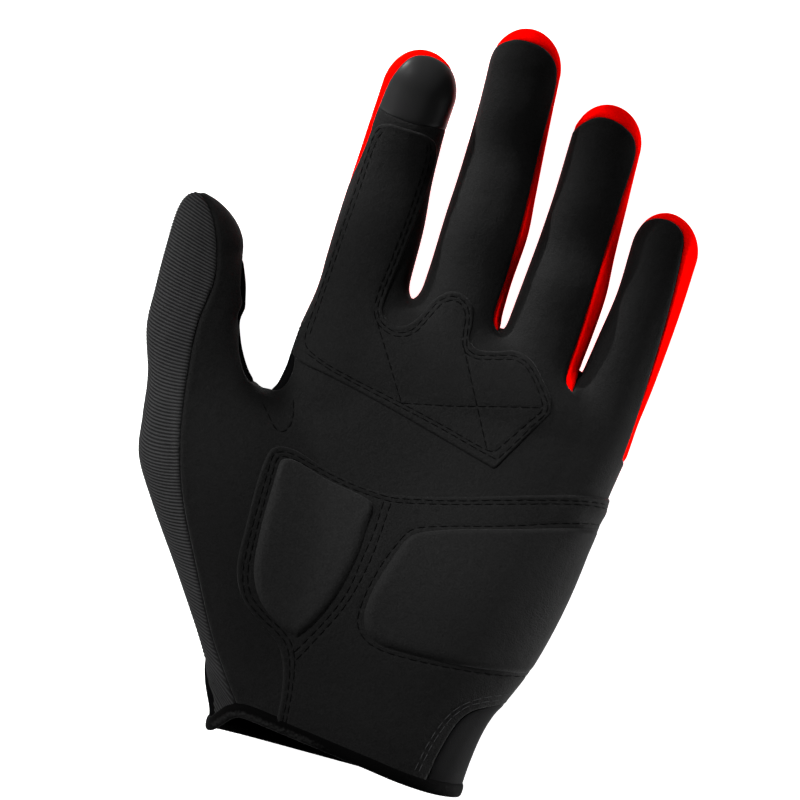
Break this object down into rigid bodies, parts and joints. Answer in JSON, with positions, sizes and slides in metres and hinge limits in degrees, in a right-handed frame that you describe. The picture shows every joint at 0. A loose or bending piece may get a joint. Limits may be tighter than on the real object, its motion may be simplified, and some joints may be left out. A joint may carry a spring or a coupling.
{
  "type": "off-road motorcycle glove",
  "caption": "Left-hand short-cuff off-road riding glove lying palm up, with a padded leather palm, ribbed thumb side, stretch fingers and an open bound cuff.",
  "frame": {"origin": "on the flat of the back of the hand, under the middle of the palm", "axes": "+Z out of the palm, +Y from the cuff to the fingertips, thumb on the -X side"},
  "size_m": [0.1539, 0.2286, 0.0342],
  "materials": {
    "leather": "matt synthetic leather",
    "gloss_tip": "smooth coated satin",
    "rib": "fine ribbed knit",
    "red_stretch": "bright red stretch knit",
    "stretch": "smooth black stretch knit",
    "binding": "soft elastic binding"
  },
  "bodies": {
    "root": {"palm": "leather", "index_tip": "gloss_tip", "wrist_gusset": "stretch", "thumb_back": "rib", "hand_back": "stretch", "index_back": "red_stretch", "middle_back": "red_stretch", "ring_back": "red_stretch", "little_back": "red_stretch", "palm_overlay": "leather", "heel_overlay": "leather", "thenar_pad": "leather", "hypothenar_pad": "leather", "cuff_binding": "binding"}
  },
  "joints": []
}
